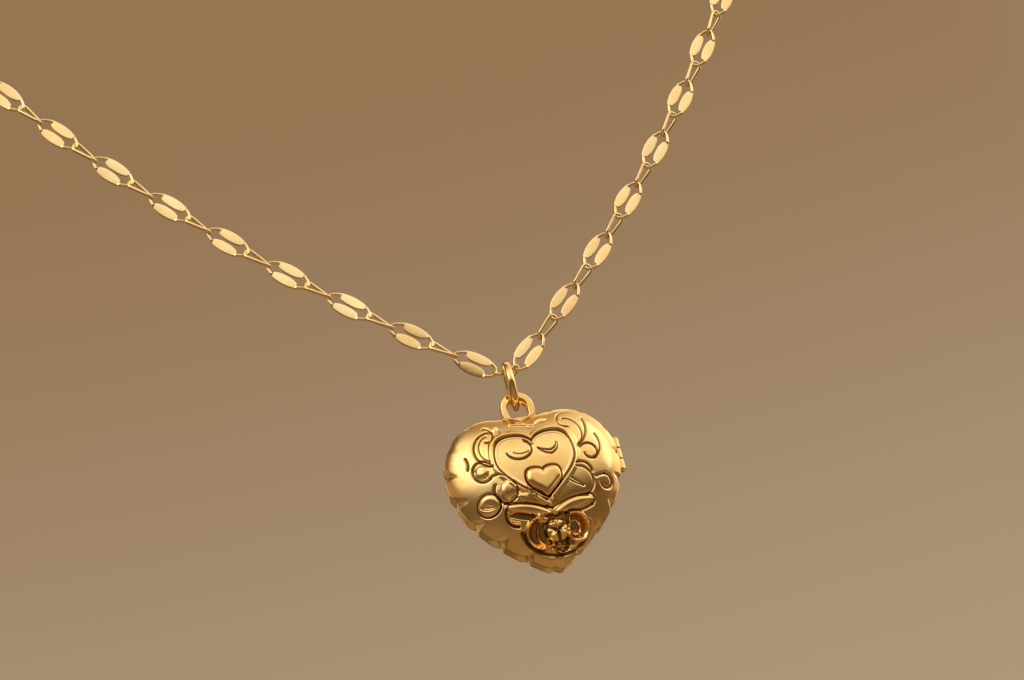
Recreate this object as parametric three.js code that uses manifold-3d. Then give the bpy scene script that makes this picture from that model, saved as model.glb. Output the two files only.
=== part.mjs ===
// A puffed heart locket on a leaf-link chain, in millimetres.
// +X is to the right of the locket's front, +Y runs from the front to the back and +Z is up.
// The origin is the lowest contact of the chain, where the jump ring hangs on it.
import * as THREE from "three";
import { mergeVertices } from "three/addons/utils/BufferGeometryUtils.js";
import Module from "manifold-3d";

const wasm = await Module();
wasm.setup();

// ---- driving dimensions ----
const HALF_WIDTH = 8.5; // heart outline, at its widest
const CLEFT_Z = -5.25;
const LOBE = { x: 3.6, z: -4.5 };
const WIDEST_Z = -9.9;
const TIP_Z = -20.5;
const HEART_CENTRE_Z = -11.3; // the nested outlines shrink towards this height
const SHELL_DEPTH = 3.3; // each half, seam to crown
const FLANK = 0.7; // straight wall beside the seam
const WALL = 0.4;
const SEAM_GAP = 0.02;

const RING = { radius: 2.12, wire: 0.41, z: -1.13, turn: -10 }; // turned so about the vertical
const BAIL = { outer: 1.65, hole: 0.95, holeTop: -2.66, holeBottom: -4.6, depth: 1.1 };
const HINGE = { x: 8.58, z: -9.9, barrel: 0.42, bore: 0.24, knuckle: 1.05, gap: 0.06, recess: 0.45 };
const HINGE_PIN = { radius: 0.21, head: 0.31, headLength: 0.12, sunk: 0.02 };

// What lies inside follows the outline: a share of it out from the centre, between two depths.
const LIP = { outer: 0.945, inner: 0.905, y0: -0.75, y1: 0.75 };
const REAR_FRAME = { outer: 0.895, inner: 0.74, y0: 0.15, y1: 0.5 };
const REAR_WINDOW = { outer: 0.885, y0: 0.53, y1: 0.7 };
const REAR_CARD = { outer: 0.875, y0: 0.73, y1: 0.95 };
const FRONT_FRAME = { outer: 0.86, inner: 0.71, y0: -1.15, y1: -0.85 };
const FRONT_WINDOW = { outer: 0.85, y0: -1.35, y1: -1.18 };
const FRONT_CARD = { outer: 0.84, y0: -1.55, y1: -1.38 };
const CATCH_BEAD = { radius: 0.14, length: 1.2, y: -0.4, proud: 0.01 };
const CATCH_GROOVE = { radius: 0.19, length: 1.4 };

const WIRE = 0.16; // radius of the chain's wire
const LEAF = { length: 4.96, width: 2.1, thickness: 0.24, slit: 0.28, hole: 0.46 };
const BOTTOM = { length: 1.95, width: 1.25 };
const SMALL = { length: 3.14, width: 1.25 };
const TWIST = 60; // degrees between one link and the next
const PLAY = 0.04; // free play where two links bear on each other
const LEFT = { side: -1, count: 9, bottomSlope: 65, firstSlope: 55, turn: 1.9 };
const RIGHT = { side: 1, count: 8, bottomSlope: 57, firstSlope: 46.5, turn: 2.05 };

const CLASP = { thickness: 1.8, claw: 2.6, clawHole: 1.5, clawX: 7.2, mouth: 45 };
const CLASP_EYE = { radius: 1.2, hole: 0.65, thickness: 0.6, neck: 1.6 };
const CLASP_BLOCK = { x0: 1.5, x1: 5.4, z0: -1.35, z1: 1.3 };
const LEVER_SLOT = { x0: 2.6, x1: 5.95, y0: -0.4, y1: 0.65, z0: -3, z1: 0.65 };
const LEVER = { thickness: 0.7, x: 3.9, z: -0.75, pin: 0.25, clearance: 0.03 };
const COIL = { inner: 0.3, outer: 0.48, y0: 0.38, y1: 0.62 };
const END_RING = { radius: 1.35, wire: 0.25 };
const TAG = { length: 6, width: 3, thickness: 0.3, hole: 0.45 };

const GOLD = [0xd9a441, 0.22];
const CHAIN_GOLD = [0xe0b268, 0.28];
const radians = THREE.MathUtils.degToRad;

// ---- materials and solids ----
function metal([color, roughness]) {
  return new THREE.MeshStandardMaterial({ color, roughness, metalness: 1 });
}

function acetate() {
  const look = { color: 0xf4f6f6, roughness: 0.1, opacity: 0.3, transparent: true };
  return new THREE.MeshStandardMaterial(look);
}

function card() {
  return new THREE.MeshStandardMaterial({ color: 0xf1ead8, roughness: 0.9, metalness: 0 });
}

function named(name, geometry, material) {
  const mesh = new THREE.Mesh(geometry, material);
  mesh.name = name;
  return mesh;
}

function solid(geometry) {
  const bare = geometry.clone();
  bare.deleteAttribute("normal");
  bare.deleteAttribute("uv");
  const merged = mergeVertices(bare, 1e-4);
  return new wasm.Manifold(
    new wasm.Mesh({
      numProp: 3,
      vertProperties: merged.attributes.position.array,
      triVerts: new Uint32Array(merged.index.array),
    }),
  );
}

function geometryOf(manifold) {
  const mesh = manifold.getMesh();
  return new THREE.BufferGeometry()
    .setAttribute("position", new THREE.BufferAttribute(mesh.vertProperties, 3))
    .setIndex(new THREE.BufferAttribute(mesh.triVerts, 1));
}

// A plate whose outline is drawn in X and Z, centred on Y = 0.
function plate(shape, thickness, curveSegments = 8) {
  return new THREE.ExtrudeGeometry(shape, { depth: thickness, bevelEnabled: false, curveSegments })
    .translate(0, 0, -thickness / 2)
    .rotateX(Math.PI / 2);
}

function box({ x0, x1, y0, y1, z0, z1 }) {
  return new THREE.BoxGeometry(x1 - x0, y1 - y0, z1 - z0).translate(
    (x0 + x1) / 2,
    (y0 + y1) / 2,
    (z0 + z1) / 2,
  );
}

// A round bar along Y.
function crossBar(x, z, radius, length, sides = 12) {
  return new THREE.CylinderGeometry(radius, radius, length, sides).translate(x, 0, z);
}

// A round bar along Z.
function upright(radius, z0, z1, sides = 16) {
  return new THREE.CylinderGeometry(radius, radius, z1 - z0, sides)
    .rotateX(Math.PI / 2)
    .translate(HINGE.x, 0, (z0 + z1) / 2);
}

// ---- the heart and everything that follows its outline ----
function heartOutline(samplesPerSide) {
  const side = new THREE.CurvePath();
  const at = (x, z) => new THREE.Vector2(x, z);
  const stretch = (...points) => side.add(new THREE.CubicBezierCurve(...points));
  const tipShoulder = at(0.9, TIP_Z + 0.3);
  stretch(at(0, CLEFT_Z), at(0.9, CLEFT_Z + 0.52), at(2.1, LOBE.z), at(LOBE.x, LOBE.z));
  stretch(at(LOBE.x, LOBE.z), at(6.1, LOBE.z), at(HALF_WIDTH, -6.9), at(HALF_WIDTH, WIDEST_Z));
  stretch(at(HALF_WIDTH, WIDEST_Z), at(HALF_WIDTH, -13.5), at(6.1, -17), tipShoulder);
  stretch(tipShoulder, at(0.6, TIP_Z + 0.05), at(0.3, TIP_Z), at(0, TIP_Z));
  const right = side.getSpacedPoints(samplesPerSide);
  const left = right.slice(1, -1).reverse().map((p) => at(-p.x, p.y));
  return [...right, ...left];
}

const OUTLINE = heartOutline(20);

// Sweeps a profile of [share of the outline, y] pairs round the heart.
// An open profile starts and ends on the centre line; a closed one comes back to its first pair.
function heartSweep(profile, closed = false) {
  const count = OUTLINE.length;
  const positions = [];
  const triangles = [];
  profile.forEach(([share, y]) => {
    OUTLINE.forEach((p) => {
      positions.push(share * p.x, y, HEART_CENTRE_Z + share * (p.y - HEART_CENTRE_Z));
    });
  });
  const bands = closed ? profile.length : profile.length - 1;
  for (let i = 0; i < bands; i++) {
    const here = i * count;
    const next = ((i + 1) % profile.length) * count;
    for (let j = 0; j < count; j++) {
      const k = (j + 1) % count;
      if (profile[i][0] > 0) triangles.push(here + j, here + k, next + j);
      if (profile[(i + 1) % profile.length][0] > 0) triangles.push(here + k, next + k, next + j);
    }
  }
  const geometry = new THREE.BufferGeometry()
    .setAttribute("position", new THREE.Float32BufferAttribute(positions, 3))
    .setIndex(triangles);
  return mergeVertices(geometry, 1e-4);
}

// Depth of a domed half at a share of the outline, from the seam.
function domeDepth(share) {
  return FLANK + (SHELL_DEPTH - FLANK) * (1 - share ** 2.4) ** 0.62;
}

// One half of the case: an even skin from the crown to the seam and back inside.
// facing is -1 for the front half and 1 for the back half.
function shellGeometry(facing) {
  const inside = 1 - WALL / HALF_WIDTH;
  const shallower = 1 - WALL / SHELL_DEPTH;
  const shares = [0, 0.35, 0.6, 0.8, 0.92, 0.98, 1];
  const outer = shares.map((s) => [s, facing * domeDepth(s)]);
  const inner = shares.map((s) => [s * inside, facing * shallower * domeDepth(s)]);
  const rim = [[1, facing * SEAM_GAP], [inside, facing * SEAM_GAP]];
  const skin = [...outer, ...rim, ...inner.reverse()];
  return heartSweep(facing < 0 ? skin : skin.reverse());
}

// A band or ring that follows the outline, between two shares and two depths.
function heartBand({ outer, inner, y0, y1 }) {
  return heartSweep([[inner, y0], [outer, y0], [outer, y1], [inner, y1]], true);
}

// A flat heart-shaped sheet between two depths.
function heartSheet({ outer, y0, y1 }) {
  return heartSweep([[0, y0], [outer, y0], [outer, y1], [0, y1]]);
}

function shell(facing) {
  const half = (HINGE.knuckle * 3) / 2 + HINGE.gap * 3;
  const recess = upright(HINGE.recess, HINGE.z - half, HINGE.z + half);
  let cut = solid(shellGeometry(facing)).subtract(solid(recess));
  if (facing < 0) cut = cut.subtract(solid(beadGeometry(CATCH_GROOVE)));
  return geometryOf(cut);
}

function bailGeometry() {
  const arcZ = BAIL.holeTop - BAIL.hole;
  const foot = OUTLINE.filter((p) => Math.abs(p.x) < BAIL.outer - 0.05 && p.y > HEART_CENTRE_Z)
    .map((p) => new THREE.Vector2(p.x, p.y + 0.04))
    .sort((a, b) => b.x - a.x);
  const shape = new THREE.Shape();
  shape.absarc(0, arcZ, BAIL.outer, Math.PI, 0, true);
  shape.lineTo(BAIL.outer, foot[0].y + 0.06);
  foot.forEach((p) => shape.lineTo(p.x, p.y));
  shape.lineTo(-BAIL.outer, foot[0].y + 0.06);
  shape.closePath();
  const hole = new THREE.Path();
  hole.absarc(0, arcZ, BAIL.hole, 0, Math.PI, false);
  hole.lineTo(-BAIL.hole, BAIL.holeBottom);
  hole.lineTo(BAIL.hole, BAIL.holeBottom);
  shape.holes.push(hole);
  return plate(shape, BAIL.depth);
}

// The catch's bead and its groove lie along Z on the lip, opposite the hinge.
function beadGeometry({ radius, length }) {
  return new THREE.CylinderGeometry(radius, radius, length, 10)
    .rotateX(Math.PI / 2)
    .translate(-LIP.outer * HALF_WIDTH - CATCH_BEAD.proud, CATCH_BEAD.y, WIDEST_Z);
}

function knuckle(index, name) {
  const step = HINGE.knuckle + HINGE.gap;
  const z = HINGE.z + index * step;
  const barrel = solid(upright(HINGE.barrel, z - HINGE.knuckle / 2, z + HINGE.knuckle / 2));
  const bore = solid(upright(HINGE.bore, z - HINGE.knuckle, z + HINGE.knuckle));
  return named(name, geometryOf(barrel.subtract(bore)), metal(GOLD));
}

function hingePin() {
  const { radius, head, headLength, sunk } = HINGE_PIN;
  const half = (HINGE.knuckle * 3) / 2 + HINGE.gap * 2;
  const shaft = solid(upright(radius, HINGE.z - half, HINGE.z + half));
  const lower = solid(upright(head, HINGE.z - half - headLength + sunk, HINGE.z - half + sunk));
  const upper = solid(upright(head, HINGE.z + half - sunk, HINGE.z + half + headLength - sunk));
  return geometryOf(shaft.add(lower).add(upper));
}

function locket() {
  const group = new THREE.Group();
  const lip = heartBand(LIP);
  const bead = solid(beadGeometry(CATCH_BEAD)).subtract(solid(lip));
  group.add(
    named("rear_shell", shell(1), metal(GOLD)),
    named("front_shell", shell(-1), metal(GOLD)),
    named("snap_rim", lip, metal(GOLD)),
    named("catch_bead", geometryOf(bead.decompose().at(-1)), metal(GOLD)),
    knuckle(1, "hinge_knuckle_upper"),
    knuckle(0, "hinge_knuckle_cover"),
    knuckle(-1, "hinge_knuckle_lower"),
    named("hinge_pin", hingePin(), metal(GOLD)),
    named("bail_loop", bailGeometry(), metal(GOLD)),
    named("photo_frame_rear", heartBand(REAR_FRAME), metal(GOLD)),
    named("photo_window_rear", heartSheet(REAR_WINDOW), acetate()),
    named("photo_card_rear", heartSheet(REAR_CARD), card()),
    named("photo_frame_front", heartBand(FRONT_FRAME), metal(GOLD)),
    named("photo_window_front", heartSheet(FRONT_WINDOW), acetate()),
    named("photo_card_front", heartSheet(FRONT_CARD), card()),
  );
  return group;
}

function jumpRing() {
  const torus = new THREE.TorusGeometry(RING.radius, RING.wire, 8, 24)
    .rotateY(Math.PI / 2)
    .rotateZ(radians(RING.turn));
  const mesh = named("jump_ring", torus, metal(GOLD));
  mesh.position.set(0, 0, RING.z);
  return mesh;
}

// ---- chain: every link lies along X with its broad side facing -Y ----
function roundEnded(halfLength, halfWidth) {
  const shape = new THREE.Shape();
  const straight = halfLength - halfWidth;
  shape.absarc(straight, 0, halfWidth, -Math.PI / 2, Math.PI / 2, false);
  shape.absarc(-straight, 0, halfWidth, Math.PI / 2, (3 * Math.PI) / 2, false);
  return shape;
}

// An oval wire link of six-sided wire.
function ovalLink({ length, width }) {
  const sides = 6;
  const bend = width / 2 - WIRE;
  const loop = roundEnded(length / 2 - WIRE, bend).getPoints(2).slice(0, -1);
  const positions = [];
  const triangles = [];
  loop.forEach((p, i) => {
    const before = loop.at(i - 1);
    const after = loop[(i + 1) % loop.length];
    const along = new THREE.Vector2().subVectors(after, before).normalize();
    const here = i * sides;
    const next = ((i + 1) % loop.length) * sides;
    for (let j = 0; j < sides; j++) {
      const turn = (j / sides) * 2 * Math.PI;
      const out = WIRE * Math.cos(turn);
      const k = (j + 1) % sides;
      positions.push(p.x + out * along.y, WIRE * Math.sin(turn), p.y - out * along.x);
      triangles.push(here + j, here + k, next + j, here + k, next + k, next + j);
    }
  });
  return new THREE.BufferGeometry()
    .setAttribute("position", new THREE.Float32BufferAttribute(positions, 3))
    .setIndex(triangles);
}

// The long link: two pressed leaves either side of a slit, with a round hole at each end.
function leafLink() {
  const end = SMALL.width / 2;
  const shoulder = LEAF.length / 2 - end;
  const neckX = shoulder + end / 2;
  const neckZ = end * Math.sin(Math.PI / 3);
  const bulgeX = shoulder - 0.45;
  const bulgeZ = LEAF.width / 2;
  const shape = new THREE.Shape();
  shape.absarc(shoulder, 0, end, -Math.PI / 3, Math.PI / 3, false);
  shape.quadraticCurveTo(bulgeX, bulgeZ, 0, bulgeZ);
  shape.quadraticCurveTo(-bulgeX, bulgeZ, -neckX, neckZ);
  shape.absarc(-shoulder, 0, end, (2 * Math.PI) / 3, (4 * Math.PI) / 3, false);
  shape.quadraticCurveTo(-bulgeX, -bulgeZ, 0, -bulgeZ);
  shape.quadraticCurveTo(bulgeX, -bulgeZ, neckX, -neckZ);
  const slot = new THREE.Path();
  const holeX = LEAF.length / 2 - 2 * WIRE - LEAF.hole;
  const mouth = Math.asin(LEAF.slit / 2 / LEAF.hole);
  slot.absarc(holeX, 0, LEAF.hole, mouth - Math.PI, Math.PI - mouth, false);
  slot.absarc(-holeX, 0, LEAF.hole, mouth, 2 * Math.PI - mouth, false);
  shape.holes.push(slot);
  return plate(shape, LEAF.thickness, 3);
}

// ---- end fittings: the clasp and the tag, each with a soldered ring ----
function endTag() {
  const reach = TAG.length / 2 - 2 * WIRE - TAG.hole;
  const shape = roundEnded(TAG.length / 2, TAG.width / 2);
  [-1, 1].forEach((end) => {
    const hole = new THREE.Path();
    hole.absarc(end * reach, 0, TAG.hole, 0, 2 * Math.PI, false);
    shape.holes.push(hole);
  });
  return plate(shape, TAG.thickness);
}

function circlePlate(x, radius, thickness) {
  return solid(crossBar(x, 0, radius, thickness, 20));
}

function claspBody() {
  const { claw, clawHole, clawX, thickness } = CLASP;
  const eyeHalf = CLASP_EYE.thickness / 2;
  const eye = circlePlate(0, CLASP_EYE.radius, CLASP_EYE.thickness);
  const neck = solid(box({ x0: 0.8, x1: CLASP_EYE.neck, y0: -eyeHalf, y1: eyeHalf, z0: -0.8, z1: 0.8 }));
  const block = solid(box({ ...CLASP_BLOCK, y0: -thickness / 2, y1: thickness / 2 }));
  const hook = new THREE.Shape();
  hook.absarc(clawX, 0, claw, -radians(CLASP.mouth), Math.PI, false);
  hook.absarc(clawX, 0, clawHole, Math.PI, -radians(CLASP.mouth), true);
  return geometryOf(
    eye
      .add(neck)
      .add(block)
      .add(solid(plate(hook, thickness, 8)))
      .subtract(circlePlate(0, CLASP_EYE.hole, 2 * thickness))
      .subtract(solid(box(LEVER_SLOT)))
      .subtract(solid(crossBar(LEVER.x, LEVER.z, LEVER.pin + 0.01, 2 * thickness))),
  );
}

// The sprung gate of the clasp, with its thumb knob below the pivot.
function claspLever() {
  const shape = new THREE.Shape();
  shape.moveTo(3.9, -0.05);
  shape.lineTo(5.3, -0.3);
  shape.quadraticCurveTo(6.6, -1.1, 8.1, -0.85);
  shape.lineTo(8.18, -1.1);
  shape.quadraticCurveTo(7.2, -2.1, 5.2, -1.75);
  shape.lineTo(4.3, -1.55);
  shape.lineTo(4.15, -2.4);
  shape.quadraticCurveTo(3.5, -2.8, 3, -2.4);
  shape.lineTo(3.15, -0.6);
  shape.closePath();
  const gate = solid(plate(shape, LEVER.thickness));
  return geometryOf(gate.subtract(solid(crossBar(LEVER.x, LEVER.z, LEVER.pin + LEVER.clearance, 2))));
}

function coilSpring() {
  const shape = new THREE.Shape();
  shape.absarc(0, 0, COIL.outer, 0, 2 * Math.PI, false);
  const hole = new THREE.Path();
  hole.absarc(0, 0, COIL.inner, 0, 2 * Math.PI, false);
  shape.holes.push(hole);
  return plate(shape, COIL.y1 - COIL.y0).translate(LEVER.x, (COIL.y0 + COIL.y1) / 2, LEVER.z);
}

function clasp() {
  const group = new THREE.Group();
  group.add(
    named("clasp_body", claspBody(), metal(GOLD)),
    named("clasp_lever", claspLever(), metal(GOLD)),
    named("clasp_pin", crossBar(LEVER.x, LEVER.z, LEVER.pin, CLASP.thickness), metal(GOLD)),
    named("clasp_spring", coilSpring(), metal([0xb9bcc0, 0.35])),
  );
  group.rotation.x = Math.PI / 2;
  return group;
}

function endRing(name) {
  const torus = new THREE.TorusGeometry(END_RING.radius, END_RING.wire, 6, 16);
  return named(name, torus.rotateX(Math.PI / 2), metal(CHAIN_GOLD));
}

// ---- one arm of the chain ----
const bottomSpan = BOTTOM.length - 4 * WIRE - PLAY;
const smallSpan = SMALL.length - 4 * WIRE - PLAY;
const leafSpan = LEAF.length - 4 * WIRE - PLAY;
const tagSpan = TAG.length - 4 * WIRE - PLAY;

function armDirection(arm, slope) {
  const a = radians(slope);
  return new THREE.Vector3(arm.side * Math.sin(a), 0, Math.cos(a));
}

// Hangs each link from the one below it, going up the arm.
class Arm {
  constructor(root, arm, word) {
    Object.assign(this, { root, arm, word, slope: arm.bottomSlope });
    this.end = armDirection(arm, arm.bottomSlope).multiplyScalar(-PLAY / 2);
  }

  put(object, centre) {
    const way = armDirection(this.arm, this.slope);
    const holder = new THREE.Group();
    holder.position.copy(this.end).addScaledVector(way, centre);
    holder.rotation.y = -Math.atan2(way.z, way.x);
    holder.add(object);
    this.root.add(holder);
  }

  link(name, geometry, span) {
    this.put(named(`${name}_${this.word}`, geometry, metal(CHAIN_GOLD)), span / 2);
    this.end.addScaledVector(armDirection(this.arm, this.slope), span);
  }

  build() {
    this.link("bottom_link", ovalLink(BOTTOM).rotateX(radians(TWIST)), bottomSpan);
    for (let i = 1; i <= this.arm.count; i++) {
      this.slope = this.arm.firstSlope - (i - 1) * this.arm.turn;
      this.link(`leaf_link_${i}`, leafLink(), leafSpan);
      this.slope -= this.arm.turn / 2;
      this.link(`small_link_${i}`, ovalLink(SMALL).rotateX(radians(TWIST)), smallSpan);
    }
    return this;
  }

  ringCentre() {
    return END_RING.radius - END_RING.wire - PLAY / 2;
  }
}

const part = new THREE.Group();
part.add(locket(), jumpRing());

const left = new Arm(part, LEFT, "left").build();
left.put(endRing("clasp_ring"), left.ringCentre());
left.put(clasp(), left.ringCentre() + END_RING.radius - END_RING.wire - PLAY + CLASP_EYE.hole);

const right = new Arm(part, RIGHT, "right").build();
right.link("end_tag", endTag(), tagSpan);
const catchRing = endRing("catch_ring");
catchRing.rotation.x = Math.PI / 2;
right.put(catchRing, right.ringCentre());

export default part;
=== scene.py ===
"""A puffed gold heart locket on a leaf-link chain: the looks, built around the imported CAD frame.

Sizes are in millimetres, and MM turns them into Blender's metres where a mesh is made.
Only the lights are placed and sized in metres.
+X is to the right of the locket's front, which faces -Y, and +Z is up.
"""
import math

import bpy
import numpy as np
from mathutils import Matrix, Vector


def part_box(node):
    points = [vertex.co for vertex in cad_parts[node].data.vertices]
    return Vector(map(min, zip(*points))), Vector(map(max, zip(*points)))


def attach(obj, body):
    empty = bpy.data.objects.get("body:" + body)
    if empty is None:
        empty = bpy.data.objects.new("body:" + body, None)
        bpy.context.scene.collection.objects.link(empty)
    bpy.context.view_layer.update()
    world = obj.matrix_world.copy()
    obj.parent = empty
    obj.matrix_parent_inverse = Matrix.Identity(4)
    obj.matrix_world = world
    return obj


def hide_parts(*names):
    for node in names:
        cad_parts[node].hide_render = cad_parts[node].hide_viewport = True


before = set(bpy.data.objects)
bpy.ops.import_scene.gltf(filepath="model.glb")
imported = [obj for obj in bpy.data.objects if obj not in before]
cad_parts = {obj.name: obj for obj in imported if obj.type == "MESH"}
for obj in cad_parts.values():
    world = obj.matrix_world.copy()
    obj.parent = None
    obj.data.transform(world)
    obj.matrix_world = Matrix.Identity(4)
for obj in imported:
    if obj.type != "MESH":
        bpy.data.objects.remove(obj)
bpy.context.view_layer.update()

MM = 0.001


def node_box(name):
    """Lowest and highest corner of a CAD node, in millimetres."""
    low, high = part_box(name)
    return np.array(low) / MM, np.array(high) / MM


# ---- driving dimensions of the case, from the frame where it has them ----
SHELL_LOW, SHELL_HIGH = node_box("front_shell")
HALF_WIDTH = SHELL_HIGH[0]
LOBE_Z = SHELL_HIGH[2]
TIP_Z = SHELL_LOW[2]
SHELL_DEPTH = -SHELL_LOW[1]
SEAM = -SHELL_HIGH[1]
CLEFT_Z = LOBE_Z - 0.75
LOBE_X = 3.6
WIDEST_Z = -9.9
HEART_CENTRE = np.array([0, -11.3])  # in X and Z, where the dome is deepest
FLANK = 0.7  # depth at which the flank turns into the dome
WALL = 0.4
EDGE = 0.05  # the eased corner at the seam
CROWN = 1e-3  # share of the smallest ring, which a cap closes
DOME = {"fullness": 2.4, "roundness": 0.62}
FRONT_GRID = {"columns": 600, "rows": 138}
REAR_GRID = {"columns": 400, "rows": 60}
RECESS_GAP = {"end": 0.06, "side": 0.03}  # room round the hinge barrel

# ---- bail, jump ring and chain ----
BAIL = {"hole": 0.95, "hole_low": -4.6, "hole_corner": 0.2, "bevel": 0.14,
        "foot_inset": 0.05, "foot_lift": 0.02, "side_lift": 0.08}
RING = {"wire": 0.41, "turn": -10, "cut_at": 55, "cut": 0.7, "steps": 120, "sides": 32}
BOTTOM = {"length": 1.95, "radii": (0.13, 0.13), "wind": 0}  # thin wire, so it clears the swinging jump ring
SMALL = {"length": 3.14, "radii": (0.19, 0.18), "wind": -60}
OVAL = {"width": 1.25, "wire": 0.16, "steps": 72, "sides": 14}  # what those two have in common
LEAF = {"length": 4.96, "width": 2.34, "slit": 0.22, "leaf": 3.2, "taper": 0.5, "wire": 0.18, "thin": 0.1,
        "pointed": 1.25, "fade": 0.4, "opening": 2.6, "shift": (0.04, 0.14),
        "lean": (-0.09, 0.09), "lean_axis": 0.55}
LEAF_GRID = {"steps": 200, "sides": 16}
BOTTOM_TWIST = 60
SMALL_TWIST = (38, 46)
LEAF_TWIST = (-4, 4)
LINK_SEED = 7

# ---- fittings ----
RIVET_GROWTH = 1.07  # lets the claw's rivet stand just proud of its sides
EASING_STEPS = 6

# ---- studio ----
CAMERA = {"lens": 100, "yaw": 14, "elevation": -23, "roll": -14.5,
          "distance": 275.2, "right": 0.39, "up": 3.48}
FLOOR_Z = -160
FLOOR_HALF_SIZE = 4000
KEY_FROM = (-0.36, -0.42, 0.36)  # in metres, and the way to the larger glow
SIDE_FROM = (0.9, 0.3, 0.1)  # the way to the smaller glow
REAR_AXIS = (-0.7, 0.72, 0)  # the way in which the studio turns tan


# ---- meshes ----
def add_mesh(name, data):
    """An object in the scene that shows a mesh or a curve."""
    obj = bpy.data.objects.new(name, data)
    bpy.context.scene.collection.objects.link(obj)
    return obj


def shade(mesh, sharp):
    """Smooth shading that keeps edges over `sharp` degrees sharp."""
    mesh.shade_smooth()
    mesh.set_sharp_from_angle(angle=math.radians(sharp))


def add_object(name, verts, faces, sharp=40):
    """A smooth-shaded mesh object from millimetre vertices. Edges over `sharp` degrees stay sharp."""
    mesh = bpy.data.meshes.new(name)
    mesh.from_pydata([tuple(v) for v in np.asarray(verts) * MM], [], faces)
    mesh.validate()
    shade(mesh, sharp)
    return add_mesh(name, mesh)


def tube_faces(rows, columns, close_rows=False):
    """Quads of a grid whose columns close on themselves, row after row."""
    row = np.arange(rows if close_rows else rows - 1)[:, None]
    column = np.arange(columns)[None, :]
    next_row, next_column = (row + 1) % rows * columns, (column + 1) % columns
    row = row * columns
    quads = np.stack([row + column, next_row + column, next_row + next_column, row + next_column], -1)
    return quads.reshape(-1, 4).tolist()


def end_caps(rows, columns):
    """One face over the first row of such a grid, turned back to front, and one over its last row."""
    return [list(range(columns))[::-1], list(range((rows - 1) * columns, rows * columns))]


def smoothstep(x):
    """Rises smoothly from 0 to 1 as x does."""
    t = np.clip(x, 0, 1)
    return t * t * (3 - 2 * t)


# ---- the heart's outline ----
def bezier(a, b, c, d, count=200):
    """Points along a cubic curve from a to d, without d."""
    t = np.linspace(0, 1, count, endpoint=False)[:, None]
    a, b, c, d = (np.array(p, float) for p in (a, b, c, d))
    return (1 - t) ** 3 * a + 3 * (1 - t) ** 2 * t * b + 3 * (1 - t) * t**2 * c + t**3 * d


def heart_outline(count):
    """Points round the heart in X and Z, evenly spaced, from the cleft over the right lobe."""
    lobe, side, shoulder = (LOBE_X, LOBE_Z), (HALF_WIDTH, WIDEST_Z), (0.9, TIP_Z + 0.3)
    right = np.vstack([
        bezier((0, CLEFT_Z), (0.9, CLEFT_Z + 0.52), (2.1, LOBE_Z), lobe),
        bezier(lobe, (6.1, LOBE_Z), (HALF_WIDTH, -6.9), side),
        bezier(side, (HALF_WIDTH, -13.5), (6.1, -17), shoulder),
        bezier(shoulder, (0.6, TIP_Z + 0.05), (0.3, TIP_Z), (0, TIP_Z)),
        [(0, TIP_Z)],
    ])
    left = right[-2:0:-1] * [-1, 1]
    loop = np.vstack([right, left, right[:1]])
    length = np.r_[0, np.cumsum(np.linalg.norm(np.diff(loop, axis=0), axis=1))]
    at = np.linspace(0, length[-1], count, endpoint=False)
    even = [np.interp(at, length, loop[:, axis]) for axis in (0, 1)]
    return np.column_stack(even), length[-1]


def softened(outline, share=0.07):
    """The outline with its cleft and tip rounded away, for the middle of the dome."""
    count = len(outline)
    away = np.minimum(np.arange(count), count - np.arange(count))
    kernel = np.exp(-0.5 * (away / (share * count)) ** 2)
    spectrum = np.fft.rfft(kernel / kernel.sum())
    blurred = [np.fft.irfft(np.fft.rfft(outline[:, axis]) * spectrum, count) for axis in (0, 1)]
    return np.column_stack(blurred)


def dome_depth(share):
    """How far the dome stands off the seam, from its crown at share 0 to its rim at share 1."""
    fall = (1 - np.clip(share, 0, 1) ** DOME["fullness"]) ** DOME["roundness"]
    return FLANK + (SHELL_DEPTH - FLANK) * fall


def even_shares(count):
    """Shares from the crown to the rim, evenly spaced along the dome's own curve."""
    fine = 1 - np.linspace(1, 0, 4000) ** 2
    steps = np.hypot(np.diff(fine) * HALF_WIDTH, np.diff(dome_depth(fine)))
    length = np.r_[0, np.cumsum(steps)]
    return np.interp(np.linspace(0, length[-1], count), length, fine)


# ---- the relief on the front ----
# The ornament is drawn in X and Z from arcs, bowed strokes, leaves, discs and hearts. Angles are in
# degrees, and STEP is the distance between the points along a line.
STEP = 0.06
LEAST_POINTS = 8


def arc(centre, radii, start, end, shrink=1.0):
    """A stretch of a circle or an ellipse. A shrink below 1 winds it inwards."""
    rx, rz = radii if isinstance(radii, tuple) else (radii, radii)
    count = max(LEAST_POINTS, int(math.radians(abs(end - start)) * max(rx, rz) / STEP))
    turn = np.radians(np.linspace(start, end, count))
    size = np.linspace(1, shrink, count)
    return np.column_stack([centre[0] + rx * size * np.cos(turn), centre[1] + rz * size * np.sin(turn)])


def stroke(a, b, bow=0.0):
    """A line from a to b whose middle stands `bow` to the left of its way."""
    a, b = np.array(a, float), np.array(b, float)
    length = np.linalg.norm(b - a)
    t = np.linspace(0, 1, max(LEAST_POINTS, int(length / STEP)))[:, None]
    left = np.array([a[1] - b[1], b[0] - a[0]]) / length
    return a + (b - a) * t + left * bow * 4 * t * (1 - t)


def leaf(a, b, width, bow=0.0):
    """A closed leaf along a bowed stroke."""
    spine = stroke(a, b, bow)
    way = np.gradient(spine, axis=0)
    left = np.column_stack([-way[:, 1], way[:, 0]]) / np.linalg.norm(way, axis=1, keepdims=True)
    half = width / 2 * np.sin(np.linspace(0, math.pi, len(spine)))[:, None] ** 0.6
    return np.vstack([spine + left * half, (spine - left * half)[::-1]])


def disc(centre, radii):
    """A closed circle or ellipse."""
    return arc(centre, radii, 0, 360)[:-1]


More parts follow.
